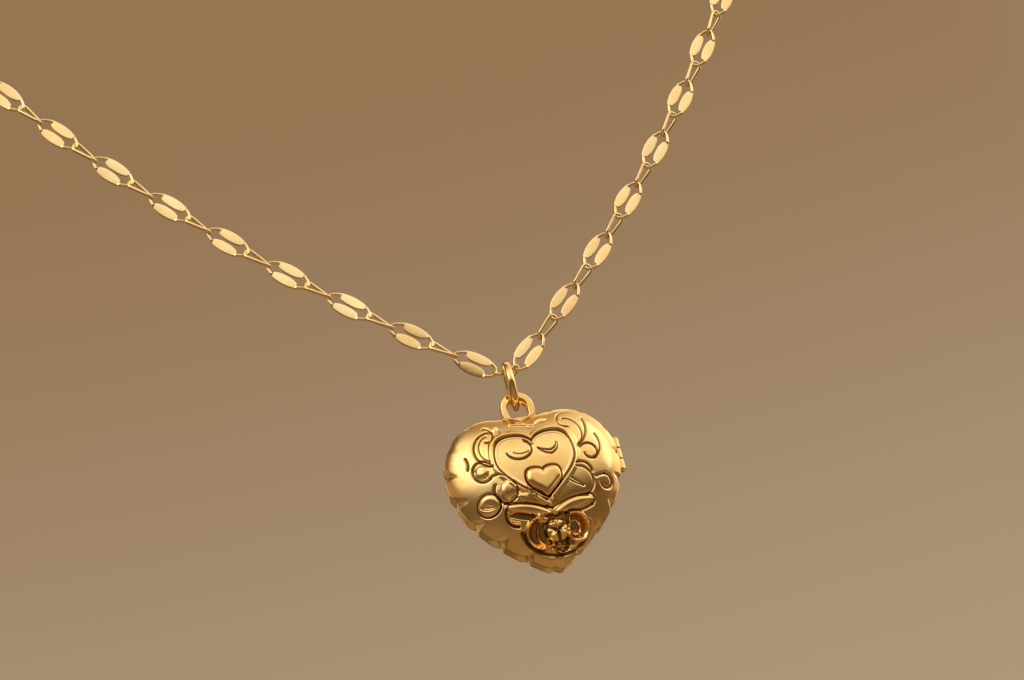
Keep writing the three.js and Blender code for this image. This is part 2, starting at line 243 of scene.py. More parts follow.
def heart(centre, width, height, cleft):
    """A closed heart in a box of that size, with a cleft that deep."""
    x, top, tip = width / 2, height / 2, -height / 2
    side = top - 0.33 * height
    right = np.vstack([
        bezier((0, top - cleft), (0.12 * x, top - 0.25 * cleft), (0.3 * x, top), (0.53 * x, top), 40),
        bezier((0.53 * x, top), (0.85 * x, top), (x, top - 0.12 * height), (x, side), 40),
        bezier((x, side), (x, side - 0.27 * height), (0.35 * x, tip + 0.2 * height), (0, tip), 80),
    ])
    return np.vstack([right, right[:0:-1] * [-1, 1]]) + centre


def border(grow=0.0):
    """The big heart in the middle of the front, or one that much larger all round."""
    return heart((-0.1, -10.85), 7.5 + 2 * grow, 6.9 + 2 * grow, 0.9)


ROSE = (0.45, -17.3)
CORE = (0.35, -17.3)
CORE_RADIUS = 1.15


def spoke(angle):
    """A line from the middle of the rose's core to its edge."""
    turn = math.radians(angle)
    edge = (CORE[0] + CORE_RADIUS * math.cos(turn), CORE[1] + CORE_RADIUS * math.sin(turn))
    return stroke(CORE, edge)


PADS = [  # a puffed area: closed outline, height, width of its sloping edge, depth of the line round it
    (heart((0.2, -12.55), 3.5, 3.1, 0.35), 0.34, 0.7, 0.13),
    (leaf((-2.9, -13.3), (0.3, -14.9), 0.9), 0.12, 0.3, 0),
    (disc((-5.4, -10.4), (0.6, 0.65)), 0.22, 0.5, 0),
    (disc((-3.45, -12.7), (0.75, 0.9)), 0.34, 0.65, 0),
    (disc((-5.4, -13.7), 1.05), 0.36, 0.55, 0.13),
    (leaf((-4.2, -14.3), (0.2, -15.8), 1.05, 0.15), 0.36, 0.45, 0),
    (leaf((0.2, -15.9), (4.6, -14.7), 1.05, 0.25), 0.32, 0.45, 0),
    (leaf((-2.0, -15.9), (0.2, -16.5), 0.7, 0.1), 0.3, 0.3, 0),
    (disc(CORE, CORE_RADIUS), 0.6, 0.65, 0.1),
]
# The last number of a hollow darkens its floor: painted shade with some patina.
SINKS = [  # a hollowed area: closed outline, depth, width of its sloping edge, how dark its floor is
    (border(), 0.1, 0.35, 0),
    (leaf((-3.0, -5.9), (-3.1, -7.2), 0.7), 0.14, 0.15, 0.2),
    (leaf((0.7, -6.3), (2.2, -6.0), 0.7, 0.1), 0.12, 0.25, 0),
    (leaf((-6.2, -13.75), (-4.8, -14.1), 0.5), 0.24, 0.15, 0.55),
    (leaf((-3.9, -15.1), (-1.0, -16.0), 0.8, 0.1), 0.25, 0.2, 0.7),
    (disc(ROSE, (3.0, 1.75)), 0.3, 0.3, 0.6),
]
RIDGES = [  # a soft raised band: middle line, half width, height
    (border(0.4), 0.36, 0.14),
    (stroke((-2.3, -12.8), (0.4, -14.4), -0.1), 0.18, 0.12),
    (stroke((-1.6, -5.95), (0.5, -6.4)), 0.18, 0.14),
    (arc((-0.9, -17.2), (1.5, 1.4), 100, 295), 0.34, 0.55),
    (arc((-0.1, -17.4), (1.45, 1.25), 130, 250), 0.2, 0.5),
    (arc((2.2, -17.1), (1.15, 1.2), 110, -130), 0.34, 0.6),
    (arc((2.1, -17.2), (0.5, 0.6), 120, -140), 0.24, 0.5),
    (stroke((1.7, -15.9), (1.2, -18.7), 0.1), 0.18, 0.5),
    (arc((0.5, -18.5), 0.75, -10, -150), 0.2, 0.5),
    (arc((-3.0, -15.1), 0.95, 160, 265), 0.24, 0.26),
    *[(spoke(angle), 0.2, 0.22) for angle in (95, 215, 335)],
]
LINES = [  # a chased line: points, half width, depth
    # the big heart's border, the curl of its left lobe, and the marks inside it
    (border(0.1), 0.1, 0.13),
    (arc((-1.5, -8.85), (1.25, 1.05), 55, -165), 0.1, 0.13),
    (stroke((-2.1, -9.1), (-0.6, -9.2), -0.2), 0.05, 0.05),
    (stroke((0.3, -9.0), (1.5, -9.4), -0.08), 0.07, 0.1),
    (stroke((1.5, -9.4), (2.2, -8.7), -0.15), 0.07, 0.1),
    (stroke((0.4, -9.15), (1.5, -9.8), -0.12), 0.07, 0.1),
    (stroke((1.5, -9.8), (2.35, -8.8), -0.2), 0.07, 0.1),
    (stroke((-1.7, -12.8), (0.4, -14.1), -0.1), 0.06, 0.07),
    # the scrolls on the left
    (arc((-4.1, -6.65), (0.55, 0.85), 100, -120), 0.1, 0.11),
    (arc((-3.95, -8.25), (1.7, 1.9), 75, 258), 0.1, 0.12),
    (arc((-4.0, -8.2), (1.15, 1.45), 95, 245), 0.07, 0.07),
    (stroke((-6.55, -8.6), (-6.6, -9.8), 0.1), 0.12, 0.12),
    (arc((-5.3, -10.4), (0.95, 1.05), 40, 305), 0.1, 0.12),
    (stroke((-4.75, -11.2), (-3.6, -11.2), 0.2), 0.1, 0.12),
    (arc((-3.6, -12.7), (1.08, 1.2), 145, 395), 0.11, 0.13),
    # the ribbons
    (stroke((-4.0, -13.9), (0.3, -15.2), 0.1), 0.12, 0.17),
    (arc((-3.0, -15.1), (1.1, 1.2), 140, 265), 0.13, 0.15),
    (stroke((0.3, -15.2), (4.1, -14.2), 0.2), 0.1, 0.12),
    (arc((4.2, -14.7), 0.5, 95, -70), 0.1, 0.12),
    (stroke((1.8, -15.7), (4.4, -15.2), -0.2), 0.13, 0.18),
    (stroke((1.6, -15.8), (-0.3, -16.2), 0.15), 0.1, 0.15),
    # the rose
    (arc((0.4, -16.3), (3.4, 3.2), 190, 352), 0.17, 0.22),
    *[(spoke(angle), 0.16, 0.2) for angle in (35, 155, 275)],
    # the scrolls on the right
    (arc((3.7, -7.75), (1.35, 1.65), 95, -62), 0.1, 0.12),
    (arc((3.95, -6.25), (0.95, 0.9), 268, 70), 0.08, 0.1),
    (arc((2.6, -6.9), 3.0, 12, -58), 0.12, 0.07),
    (arc((5.25, -10.1), 1.0, 145, -165, 0.55), 0.1, 0.12),
    (arc((4.55, -9.1), 2.0, 28, -58), 0.1, 0.11),
    (arc((4.05, -12.1), (0.95, 1.05), 120, 0), 0.1, 0.12),
    (arc((3.55, -12.9), (1.4, 1.45), 90, -105), 0.1, 0.12),
    (stroke((2.65, -12.4), (3.85, -13.4)), 0.09, 0.11),
    (stroke((2.6, -12.8), (3.8, -13.45), -0.05), 0.07, 0.09),
    (stroke((5.3, -12.6), (6.4, -12.35), 0.05), 0.11, 0.13),
    (arc((6.1, -13.2), 0.9, 75, -185, 0.4), 0.11, 0.13),
]
RIM_CUTS = {"count": 18, "offset": 0.3, "half": 0.85, "reach": 1.9,
            "depth": 0.42, "lean": 0.4, "inward": 3,
            "lobes": 0.2, "lobes_from": -10, "lobes_over": 3}
SEARCH = 1.2
FAR = 9.0
BATCH = 4000


def nearest(points, line):
    """Distance from each point to the line, or FAR for a point more than SEARCH outside the line's box."""
    distance = np.full(len(points), FAR)
    low, high = line.min(0) - SEARCH, line.max(0) + SEARCH
    close = np.where(((points > low) & (points < high)).all(1))[0]
    for part in np.array_split(close, max(1, len(close) // BATCH)):
        distance[part] = np.linalg.norm(points[part, None] - line[None], axis=2).min(1)
    return distance


def inside(points, outline):
    """Whether each point is inside the closed outline."""
    found = np.zeros(len(points), bool)
    x, z = points[:, 0], points[:, 1]
    for (x0, z0), (x1, z1) in zip(outline, np.roll(outline, -1, axis=0)):
        crosses = (z0 > z) != (z1 > z)
        rise = z1 - z0 if z1 != z0 else 1
        found ^= crosses & (x < (x1 - x0) * (z - z0) / rise + x0)
    return found


def relief(points):
    """How far the chased front stands out of the plain dome at each X, Z, and how much patina with painted
    shade darkens it there: most deep in a line and on the floor of a dark hollow.
    """
    height = np.zeros(len(points))
    patina_and_shade_mask = np.zeros(len(points))

    # A chased line is cut into the front and also darkened: patina with painted shade.
    def chase(distance, half, depth):
        nonlocal height, patina_and_shade_mask
        cut = np.exp(-((distance / half) ** 2))
        height = height - depth * cut
        patina_and_shade_mask = np.maximum(patina_and_shade_mask, cut)

    # The floor of a hollow is darkened by its last number: painted shade with some patina.
    for loop, depth, edge, dark in SINKS:
        sunk = np.where(inside(points, loop), smoothstep(nearest(points, loop) / edge), 0)
        height -= depth * sunk
        patina_and_shade_mask = np.maximum(patina_and_shade_mask, dark * sunk)
    for loop, rise, edge, line_depth in PADS:
        distance = nearest(points, loop)
        within = inside(points, loop)
        slope = np.clip(distance / edge, 0, 1)
        height += np.where(within, rise * np.sqrt(1 - (1 - slope) ** 2), 0)
        patina_and_shade_mask *= 1 - np.where(within, smoothstep(2 * slope), 0)
        if line_depth:
            chase(distance + np.where(within, 0.02, 0), 0.1, line_depth)
    for line, half, rise in RIDGES:
        crest = np.cos(np.clip(nearest(points, line) / half, 0, 1) * math.pi / 2) ** 2
        height += rise * crest
        patina_and_shade_mask *= 1 - smoothstep(1.6 * crest)
    for line, half, depth in LINES:
        chase(nearest(points, line), half, depth)
    return height, patina_and_shade_mask


# ---- the two halves of the case ----
def grid_normals(grid):
    """Unit normals of a grid of points whose columns close on themselves."""
    across = np.roll(grid, -1, axis=1) - np.roll(grid, 1, axis=1)
    down = np.gradient(grid, axis=0)
    normal = np.cross(across, down)
    return normal / np.maximum(np.linalg.norm(normal, axis=2, keepdims=True), 1e-9)


def rim_cut(travel, length, height, from_seam):
    """Depth of the wedge-shaped bright cuts at a travel round the rim, shallower over the lobes."""
    pitch = length / RIM_CUTS["count"]
    offset = ((travel + RIM_CUTS["lean"] * from_seam) / pitch + RIM_CUTS["offset"]) % 1 - 0.5
    fade = np.clip(1 - from_seam / RIM_CUTS["reach"], 0, 1)
    width = RIM_CUTS["half"] * (0.3 + 0.7 * fade)
    wedge = np.clip(1 - np.abs(offset * pitch) / width, 0, 1)
    over_lobes = smoothstep((height - RIM_CUTS["lobes_from"]) / RIM_CUTS["lobes_over"])
    strength = 1 - (1 - RIM_CUTS["lobes"]) * over_lobes
    return RIM_CUTS["depth"] * strength * np.minimum(fade * 1.3, 1) * wedge


def shell_grid(facing, columns, rows, carve):
    """The skin of one half: out over the dome, down the flank to the seam, and back inside."""
    outline, length = heart_outline(columns)
    rounder = softened(outline)
    travel = np.arange(columns) * length / columns

    def ring(share, depth):
        keep = share**3
        shape = keep * (outline - HEART_CENTRE) + (1 - keep) * (rounder - HEART_CENTRE)
        at = HEART_CENTRE + share * shape
        return np.column_stack([at[:, 0], np.full(columns, facing * depth), at[:, 1]])

    shares = even_shares(rows)
    shares[0] = CROWN
    flank = np.linspace(FLANK, SEAM + EDGE, 7)[1:]
    outer = np.array([ring(s, dome_depth(s)) for s in shares] + [ring(1, d) for d in flank])
    normal = grid_normals(outer)
    normal *= np.sign((normal * [0, facing, 0]).sum(2).mean())
    height, patina_and_shade_mask = np.zeros(outer.shape[:2]), np.zeros(outer.shape[:2])
    if carve:
        flat = outer[..., [0, 2]].reshape(-1, 2)
        height, patina_and_shade_mask = (a.reshape(outer.shape[:2]) for a in relief(flat))
        height[len(shares):] = 0
    inward = 1 - np.r_[shares, np.ones(len(flank))]
    from_seam = np.abs(outer[..., 1]) + RIM_CUTS["inward"] * inward[:, None]
    height = height - rim_cut(travel[None, :], length, outline[None, :, 1], from_seam)
    outer = outer + normal * height[..., None]
    inside_share, shallower = 1 - WALL / HALF_WIDTH, 1 - WALL / SHELL_DEPTH
    rim = np.array([ring(1 - EDGE / HALF_WIDTH, SEAM), ring(inside_share, SEAM)])
    pull = rim_cut(travel, length, outline[:, 1], np.zeros(columns))[:, None] * np.array([1, 0, 1])
    out = outline - HEART_CENTRE
    out = out / np.linalg.norm(out, axis=1, keepdims=True)
    rim[0] -= pull * np.column_stack([out[:, 0], np.zeros(columns), out[:, 1]])
    inner_shares = np.r_[np.linspace(1, 0.1, 12), CROWN]
    inner = np.array([ring(s * inside_share, shallower * dome_depth(s)) for s in inner_shares])
    grid = np.concatenate([outer, rim, inner])
    # The front's lines and hollows carry their patina and painted shade as a share from 0 to 1.
    patina_and_shade = np.concatenate([patina_and_shade_mask, np.zeros((len(rim) + len(inner), columns))])
    return grid, patina_and_shade


def heart_shell(name, facing, columns, rows, carve):
    """One half of the case, facing -1 for the front and 1 for the rear, with the patina and painted shade of
    its chased lines and hollows as an attribute.
    """
    grid, patina_and_shade = shell_grid(facing, columns, rows, carve)
    count = len(grid)
    faces = tube_faces(count, columns)
    caps = end_caps(count, columns)
    if facing > 0:
        faces = [face[::-1] for face in faces]
        caps = [cap[::-1] for cap in caps]
    obj = add_object(name, grid.reshape(-1, 3), faces + caps, sharp=50)
    layer = obj.data.attributes.new("patina_and_shade", "FLOAT", "POINT")
    layer.data.foreach_set("value", patina_and_shade.reshape(-1).astype(np.float32))
    return obj


def heart_band(name, outer, inner, y0, y1, easing, columns=240):
    """A band between two shares of the outline, with eased edges. With inner 0 it is a sheet."""
    outline = heart_outline(columns)[0]
    aside = easing / HALF_WIDTH
    back = min(easing, (y1 - y0) / 2)
    profile = [(outer - aside, y0), (outer, y0 + back), (outer, y1 - back), (outer - aside, y1)]
    if inner:
        profile += [(inner + aside, y1), (inner, y1 - back), (inner, y0 + back), (inner + aside, y0)]
    rows = []
    for share, y in profile:
        at = HEART_CENTRE + share * (outline - HEART_CENTRE)
        rows.append(np.column_stack([at[:, 0], np.full(columns, y), at[:, 1]]))
    faces = tube_faces(len(profile), columns, close_rows=bool(inner))
    if not inner:
        faces += end_caps(len(profile), columns)
    return add_object(name, np.concatenate(rows), faces)


def place(obj, body, slot, material, *nodes):
    """Gives a piece its material and its body, and hides the CAD nodes that it stands for. Its slot is not
    used.
    """
    obj.data.materials.clear()
    obj.data.materials.append(material)
    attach(obj, body)
    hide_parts(*nodes)
    return obj


# ---- materials ----
class Nodes:
    """Short calls for a material's node tree."""

    def __init__(self, name):
        self.material = bpy.data.materials.new(name)
        self.material.use_nodes = True
        self.tree = self.material.node_tree
        self.shader = self.tree.nodes["Principled BSDF"]
        self.place = self.add("ShaderNodeTexCoord").outputs["Object"]

    def add(self, kind, **values):
        """A new node, with its settings and the values of its inputs by name."""
        node = self.tree.nodes.new(kind)
        for key, value in values.items():
            if hasattr(node, key):
                setattr(node, key, value)
            else:
                node.inputs[key].default_value = value
        return node

    def link(self, out, into):
        self.tree.links.new(out, into)

    def set(self, socket, value):
        self.shader.inputs[socket].default_value = value

    def drive(self, socket, out):
        self.link(out, self.shader.inputs[socket])

    def noise(self, scale, detail=4, stretch=(1, 1, 1), roughness=0.5):
        mapping = self.add("ShaderNodeMapping")
        mapping.inputs["Scale"].default_value = stretch
        self.link(self.place, mapping.inputs["Vector"])
        node = self.add("ShaderNodeTexNoise", Scale=scale, Detail=detail, Roughness=roughness)
        self.link(mapping.outputs["Vector"], node.inputs["Vector"])
        return node.outputs["Fac"]

    def ramp(self, value, *stops):
        node = self.add("ShaderNodeValToRGB")
        elements = node.color_ramp.elements
        while len(elements) < len(stops):
            elements.new(0.5)
        for element, (position, colour) in zip(elements, stops):
            element.position = position
            element.color = (*colour, 1)
        self.link(value, node.inputs["Fac"])
        return node.outputs["Color"]

    def span(self, value, low, high, start=0.0, end=1.0):
        node = self.add("ShaderNodeMapRange")
        for key, number in (("From Min", start), ("From Max", end), ("To Min", low), ("To Max", high)):
            node.inputs[key].default_value = number
        self.link(value, node.inputs["Value"])
        return node.outputs["Result"]

    def mix(self, factor, under, colour):
        """Mixes a plain colour over another, in the measure of the factor."""
        node = self.add("ShaderNodeMix", data_type="RGBA")
        self.link(factor, node.inputs[0])
        self.link(under, node.inputs[6])
        node.inputs[7].default_value = (*colour, 1)
        return node.outputs[2]

    def math(self, operation, a, b):
        node = self.add("ShaderNodeMath", operation=operation)
        for socket, value in zip(node.inputs, (a, b)):
            if isinstance(value, (int, float)):
                socket.default_value = value
            else:
                self.link(value, socket)
        return node.outputs[0]

    def bump(self, height, strength, distance):
        node = self.add("ShaderNodeBump", Strength=strength, Distance=distance)
        self.link(height, node.inputs["Height"])
        self.link(node.outputs["Normal"], self.shader.inputs["Normal"])


def gold(name, dark, light, roughness, patina_and_shade=False):
    """Polished gold plate: slow changes of tone, fine wiping marks, and, where asked, patina with painted
    shade darkening the chased lines and hollows.
    """
    n = Nodes(name)
    n.set("Metallic", 1)
    colour = n.ramp(n.noise(260, 3), (0.35, dark), (0.65, light))
    wiped = n.noise(1500, 5, (1, 1, 7), 0.6)
    rough = n.span(wiped, roughness * 0.75, roughness * 1.35, 0.3, 0.7)
    if patina_and_shade:
        # Patina with painted shade: the chased lines and hollows turn dark brown and a little rougher.
        line = n.add("ShaderNodeAttribute", attribute_name="patina_and_shade").outputs["Fac"]
        patina_and_shade_share = n.span(line, 0, 0.9, 0.2, 0.75)
        colour = n.mix(patina_and_shade_share, colour, (0.1, 0.035, 0.008))
        rough = n.math("ADD", rough, n.math("MULTIPLY", patina_and_shade_share, 0.25))
    n.drive("Base Color", colour)
    n.drive("Roughness", rough)
    ripple = n.math("ADD", n.noise(420, 2), n.math("MULTIPLY", n.noise(7000, 3, (1, 1, 5)), 0.006))
    n.bump(ripple, 0.35, 0.00008)
    return n.material


def clear_acetate():
    """Clear sheet with a fine haze of scratches."""
    n = Nodes("clear_acetate")
    n.set("Transmission Weight", 0.92)
    n.set("IOR", 1.47)
    n.drive("Base Color", n.ramp(n.noise(700), (0.3, (0.93, 0.94, 0.93)), (0.7, (0.98, 0.98, 0.97))))
    n.drive("Roughness", n.span(n.noise(5000, 5, (1, 1, 4)), 0.03, 0.12))
    return n.material


def photo_card():
    """Uncoated card, a little yellowed, with the grain of its fibres."""
    n = Nodes("blank_card")
    n.drive("Base Color", n.ramp(n.noise(4000, 6), (0.3, (0.74, 0.68, 0.56)), (0.7, (0.86, 0.82, 0.71))))
    n.drive("Roughness", n.span(n.noise(9000), 0.7, 0.9))
    n.bump(n.noise(14000, 6), 0.3, 0.00002)
    return n.material


def spring_steel():
    """Satin steel wire."""
    n = Nodes("spring_steel")
    n.set("Metallic", 1)
    n.drive("Base Color", n.ramp(n.noise(2500), (0.3, (0.45, 0.46, 0.48)), (0.7, (0.62, 0.63, 0.65))))
    n.drive("Roughness", n.span(n.noise(8000, 5), 0.22, 0.42))
    return n.material


CASE_GOLD = gold("case_gold", (0.92, 0.6, 0.22), (0.99, 0.71, 0.33), 0.17, patina_and_shade=True)
RING_GOLD = gold("ring_gold", (0.94, 0.61, 0.23), (0.99, 0.71, 0.33), 0.1)
CHAIN_GOLD = gold("chain_gold", (0.95, 0.68, 0.34), (1.0, 0.79, 0.46), 0.16)
ACETATE = clear_acetate()
CARD = photo_card()
STEEL = spring_steel()


# ---- the case ----
def cut_cylinder(obj, x, z0, z1, radius):
    """Cuts a round recess along Z out of a piece."""
    steps = 32
    turn = np.linspace(0, 2 * math.pi, steps, endpoint=False)
    ends = [[x + radius * math.cos(a), radius * math.sin(a), z] for z in (z0, z1) for a in turn]
    faces = [face[::-1] for face in tube_faces(2, steps)] + end_caps(2, steps)
    tool = add_object("recess_tool", ends, faces)
    cut = obj.modifiers.new("recess", "BOOLEAN")
    cut.object = tool
    cut.solver = "EXACT"
    apply_modifiers(obj)
    bpy.data.objects.remove(tool)


def apply_modifiers(obj):
    """Turns a piece's modifiers into its mesh."""
    graph = bpy.context.evaluated_depsgraph_get()
    mesh = bpy.data.meshes.new_from_object(obj.evaluated_get(graph), depsgraph=graph)
    obj.modifiers.clear()
    obj.data = mesh
    shade(mesh, 45)


def make_case():
    """The two halves, each with a recess for the hinge barrel."""
    low, high = node_box("hinge_knuckle_cover")
    axis_x = (low[0] + high[0]) / 2
    z0 = node_box("hinge_knuckle_lower")[0][2] - RECESS_GAP["end"]
    z1 = node_box("hinge_knuckle_upper")[1][2] + RECESS_GAP["end"]
    barrel = (high[0] - low[0]) / 2
    front = heart_shell("front_cover", -1, **FRONT_GRID, carve=True)
    rear = heart_shell("rear_cover", 1, **REAR_GRID, carve=False)
    for shell in (front, rear):
        cut_cylinder(shell, axis_x, z0, z1, barrel + RECESS_GAP["side"])
    place(front, "locket_cover", "case_gold", CASE_GOLD, "front_shell")
    place(rear, "locket_back", "case_gold", CASE_GOLD, "rear_shell")


def make_bands():
    """The snap lip, the photo frames, the windows and the cards."""
    bands = [  # node, name, outer and inner share of the outline, body, slot, material
        ("snap_rim", "lip", 0.945, 0.905, "locket_back", "case_gold", CASE_GOLD),
        ("photo_frame_rear", "rear_frame", 0.895, 0.74, "locket_back", "case_gold", CASE_GOLD),
        ("photo_window_rear", "rear_window", 0.885, 0, "locket_back", "acetate", ACETATE),
        ("photo_card_rear", "rear_card", 0.875, 0, "locket_back", "card", CARD),
        ("photo_frame_front", "front_frame", 0.86, 0.71, "locket_cover", "case_gold", CASE_GOLD),
        ("photo_window_front", "front_window", 0.85, 0, "locket_cover", "acetate", ACETATE),
        ("photo_card_front", "front_card", 0.84, 0, "locket_cover", "card", CARD),
    ]
    for node, name, outer, inner, body, slot, material in bands:
        low, high = node_box(node)
        easing = 0.1 if "frame" in node else 0.04
        place(heart_band(name, outer, inner, low[1], high[1], easing), body, slot, material, node)


# ---- bail and jump ring ----
def make_bail():
    """The flat loop soldered in the cleft, with bevelled edges."""
    high = node_box("bail_loop")[1]
    half, depth, bevel = high[0], high[1], BAIL["bevel"]
    arc_z = high[2] - half
    hole, hole_low, corner = BAIL["hole"], BAIL["hole_low"], BAIL["hole_corner"]
    curve = bpy.data.curves.new("bail", "CURVE")
    curve.dimensions = "2D"
    curve.fill_mode = "BOTH"
    curve.extrude = (depth - bevel) * MM
    curve.bevel_depth = bevel * MM
    curve.bevel_resolution = 4
    curve.offset = -bevel * MM
    outline = heart_outline(REAR_GRID["columns"])[0]
    foot = [p for p in outline if abs(p[0]) < half - BAIL["foot_inset"] and p[1] > HEART_CENTRE[1]]
    foot = sorted(foot, key=lambda p: p[0])
    turn = np.linspace(0, math.pi, 40)
    outer = [(half * math.cos(a), arc_z + half * math.sin(a)) for a in turn]
    outer += [(-half, foot[0][1] + BAIL["side_lift"])]
    outer += [(x, z + BAIL["foot_lift"]) for x, z in foot]
    outer += [(half, foot[-1][1] + BAIL["side_lift"])]
    inner = [(hole * math.cos(a), arc_z + hole * math.sin(a)) for a in turn]
    inner += [(-hole, hole_low + corner), (-hole + corner, hole_low)]
    inner += [(hole - corner, hole_low), (hole, hole_low + corner)]
    for points in (outer, inner[::-1]):
        spline = curve.splines.new("POLY")
        spline.points.add(len(points) - 1)
        for point, (x, z) in zip(spline.points, points):
            point.co = (x * MM, z * MM, 0, 1)
        spline.use_cyclic_u = True
    drawn = add_mesh("bail_outline", curve)
    graph = bpy.context.evaluated_depsgraph_get()
    mesh = bpy.data.meshes.new_from_object(drawn.evaluated_get(graph), depsgraph=graph)
    bpy.data.objects.remove(drawn)
    mesh.transform(Matrix.Rotation(math.pi / 2, 4, "X"))
    shade(mesh, 35)
    place(add_mesh("bail", mesh), "locket_back", "case_gold", RING_GOLD, "bail_loop")


def wire_loop(path, radii, sides, closed=True, up=(0, 1, 0)):
    """Vertices of round or flattened wire along a path. Radii are its half sizes across and along `up`."""
    path = np.asarray(path, float)
    if closed:
        along = np.roll(path, -1, axis=0) - np.roll(path, 1, axis=0)
    else:
        along = np.gradient(path, axis=0)
    along /= np.linalg.norm(along, axis=1, keepdims=True)
    up = np.array(up, float)
    across = np.cross(along, up)
    across /= np.linalg.norm(across, axis=1, keepdims=True)
    upward = np.cross(across, along)
    turn = np.linspace(0, 2 * math.pi, sides, endpoint=False)
    radii = np.broadcast_to(radii, (len(path), 2))
    ring = across[:, None] * (np.cos(turn)[None, :, None] * radii[:, None, :1])
    ring = ring + upward[:, None] * (np.sin(turn)[None, :, None] * radii[:, None, 1:])
    return path[:, None] + ring


def make_jump_ring():
    """A round wire ring, cut at the back of its top and closed up with the finest gap."""
    low, high = node_box("jump_ring")
    wire, steps, sides = RING["wire"], RING["steps"], RING["sides"]
    radius = (high[2] - low[2]) / 2 - wire
    centre_z = (low[2] + high[2]) / 2
    start, gap = math.radians(RING["cut_at"]), math.radians(RING["cut"])
    turn = np.linspace(start + gap, start + 2 * math.pi - gap, steps)
    path = np.column_stack([np.zeros(steps), radius * np.cos(turn), centre_z + radius * np.sin(turn)])
    radii = np.full((steps, 2), wire)
    radii[[0, -1]] *= 0.9
    verts = wire_loop(path, radii, sides, closed=False, up=(1, 0, 0))
    cos, sin = math.cos(math.radians(RING["turn"])), math.sin(math.radians(RING["turn"]))
    verts = verts @ np.array([[cos, sin, 0], [-sin, cos, 0], [0, 0, 1]])
    faces = tube_faces(steps, sides) + end_caps(steps, sides)
    ring = add_object("jump_ring_wire", verts.reshape(-1, 3), faces)
    place(ring, "ring", "case_gold", RING_GOLD, "jump_ring")


# ---- chain ----
def link_frame(name):
    """A link's middle and its direction up the arm, from its CAD node."""
    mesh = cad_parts[name].data
    points = np.zeros(len(mesh.vertices) * 3)
    mesh.vertices.foreach_get("co", points)
    points = points.reshape(-1, 3) / MM
    middle = (points.min(0) + points.max(0)) / 2
    spread = points[:, [0, 2]] - middle[[0, 2]]
    values, vectors = np.linalg.eigh(spread.T @ spread)
    way = vectors[:, values.argmax()]
    way = way * np.sign(way @ middle[[0, 2]])
    return middle, np.array([way[0], 0, way[1]])


def to_arm(verts, middle, way, twist):
    """Moves a link drawn along X, with its broad side to -Y, to its place in the arm."""
    cos, sin = math.cos(math.radians(twist)), math.sin(math.radians(twist))
    turned = verts @ np.array([[1, 0, 0], [0, cos, sin], [0, -sin, cos]])
    axes = np.array([way, [0, 1, 0], [-way[2], 0, way[0]]])
    return turned @ axes + middle


def oval_path(half_length, half_width, count):
    """The middle line of an oval link: straight sides and round ends."""
    straight = half_length - half_width
    total = 4 * straight + 2 * math.pi * half_width
    at = np.linspace(0, total, count, endpoint=False)
    path = []
    for s in at:
        if s < math.pi * half_width:
            a = s / half_width - math.pi / 2
            path.append((straight + half_width * math.cos(a), 0, half_width * math.sin(a)))
            continue
        s -= math.pi * half_width
        if s < 2 * straight:
            path.append((straight - s, 0, half_width))
            continue
        s -= 2 * straight
        if s < math.pi * half_width:
            a = s / half_width + math.pi / 2
            path.append((-straight + half_width * math.cos(a), 0, half_width * math.sin(a)))
            continue
        s -= math.pi * half_width
        path.append((-straight + s, 0, -half_width))
    return np.array(path)


def oval_link(length, radii, wind):
    """An oval wire link, with one end wound round by so many degrees against the other."""
    wire, steps, sides = OVAL["wire"], OVAL["steps"], OVAL["sides"]
    path = oval_path(length / 2 - wire, OVAL["width"] / 2 - wire, steps)
    verts = wire_loop(path, radii, sides).reshape(-1, 3)
    turn = math.radians(wind) * (verts[:, 0] / length)
    y, z = verts[:, 1].copy(), verts[:, 2].copy()
    verts[:, 1] = y * np.cos(turn) - z * np.sin(turn)
    verts[:, 2] = y * np.sin(turn) + z * np.cos(turn)
    return verts, tube_faces(steps, sides, close_rows=True)


def strip(outer, inner, thick, flatness, sides):
    """Vertices of a band between an outer and an inner edge in X and Z, squarer where it is flatter."""
    turn = np.linspace(0, 2 * math.pi, sides, endpoint=False)
    power = 2 / flatness[:, None]
    across = np.sign(np.cos(turn)) * np.abs(np.cos(turn)) ** power
    through = np.sign(np.sin(turn)) * np.abs(np.sin(turn)) ** power
    middle, half = (outer + inner) / 2, (outer - inner) / 2
    flat = middle[:, None] + half[:, None] * across[..., None]
    return np.stack([flat[..., 0], thick[:, None] * through, flat[..., 1]], -1)


